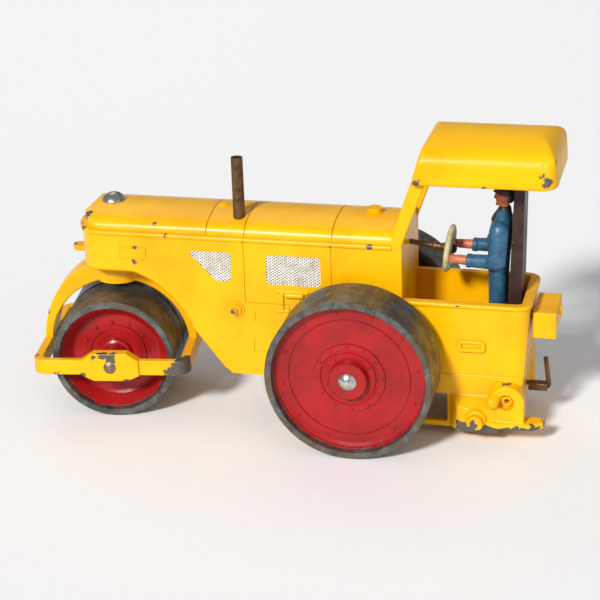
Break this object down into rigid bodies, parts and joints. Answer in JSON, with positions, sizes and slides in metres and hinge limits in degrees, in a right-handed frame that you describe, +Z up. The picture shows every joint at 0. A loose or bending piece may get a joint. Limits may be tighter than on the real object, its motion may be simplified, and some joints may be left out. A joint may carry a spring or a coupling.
{
  "type": "toy road roller",
  "caption": "Die-cast toy road roller with a steerable front roller frame, free-turning dished rollers, open cab with canopy roof, driver, exhaust pipe and tow hook.",
  "frame": {"origin": "on the ground, under the middle of the model's box", "axes": "+Z up; the nose and front roller point to -X; +Y is the driver's right"},
  "size_m": [0.1162, 0.0502, 0.065],
  "materials": {
    "yellow_enamel": "glossy enamel on a zinc casting",
    "red_enamel": "glossy enamel centres, bare tarnished rims",
    "bare_steel": "polished, lightly tarnished",
    "brown_paint": "dark brown satin",
    "brown_plating": "bronzed, dull",
    "cream_plastic": "satin",
    "blue_plastic": "satin paint on a cast figure"
  },
  "bodies": {
    "chassis": {"body_casting": "yellow_enamel", "base_casting": "yellow_enamel", "base_rivets": "bare_steel", "windscreen_frame": "yellow_enamel", "roof_canopy": "yellow_enamel", "rear_post": "brown_paint", "driver_figure": "blue_plastic", "steering_column": "brown_plating", "steering_wheel": "cream_plastic", "exhaust_pipe": "brown_plating", "tool_box": "yellow_enamel", "tow_hook": "brown_plating", "kingpin": "bare_steel", "kingpin_washer": "bare_steel", "rear_axle": "bare_steel"},
    "front_fork": {"front_yoke": "yellow_enamel", "front_axle": "bare_steel"},
    "front_roller_l": {"front_drum_left": "red_enamel"},
    "front_roller_r": {"front_drum_right": "red_enamel"},
    "rear_wheel_l": {"rear_roller_left": "red_enamel"},
    "rear_wheel_r": {"rear_roller_right": "red_enamel"}
  },
  "joints": [
    {"name": "fork_steer", "type": "hinge", "parent": "chassis", "child": "front_fork", "pos_m": [-0.03914, 0, 0.0306], "axis": [0, 0, 1], "range_deg": [-68, 52]},
    {"name": "front_roller_l_spin", "type": "hinge", "parent": "front_fork", "child": "front_roller_l", "pos_m": [-0.03914, 0, 0.0134], "axis": [-0.1426, 0.9898, 0], "continuous": true},
    {"name": "front_roller_r_spin", "type": "hinge", "parent": "front_fork", "child": "front_roller_r", "pos_m": [-0.03914, 0, 0.0134], "axis": [-0.1426, 0.9898, 0], "continuous": true},
    {"name": "rear_wheel_l_spin", "type": "hinge", "parent": "chassis", "child": "rear_wheel_l", "pos_m": [0.01716, -0.018, 0.0175], "axis": [0, 1, 0], "continuous": true},
    {"name": "rear_wheel_r_spin", "type": "hinge", "parent": "chassis", "child": "rear_wheel_r", "pos_m": [0.01716, 0.018, 0.0175], "axis": [0, 1, 0], "continuous": true}
  ]
}
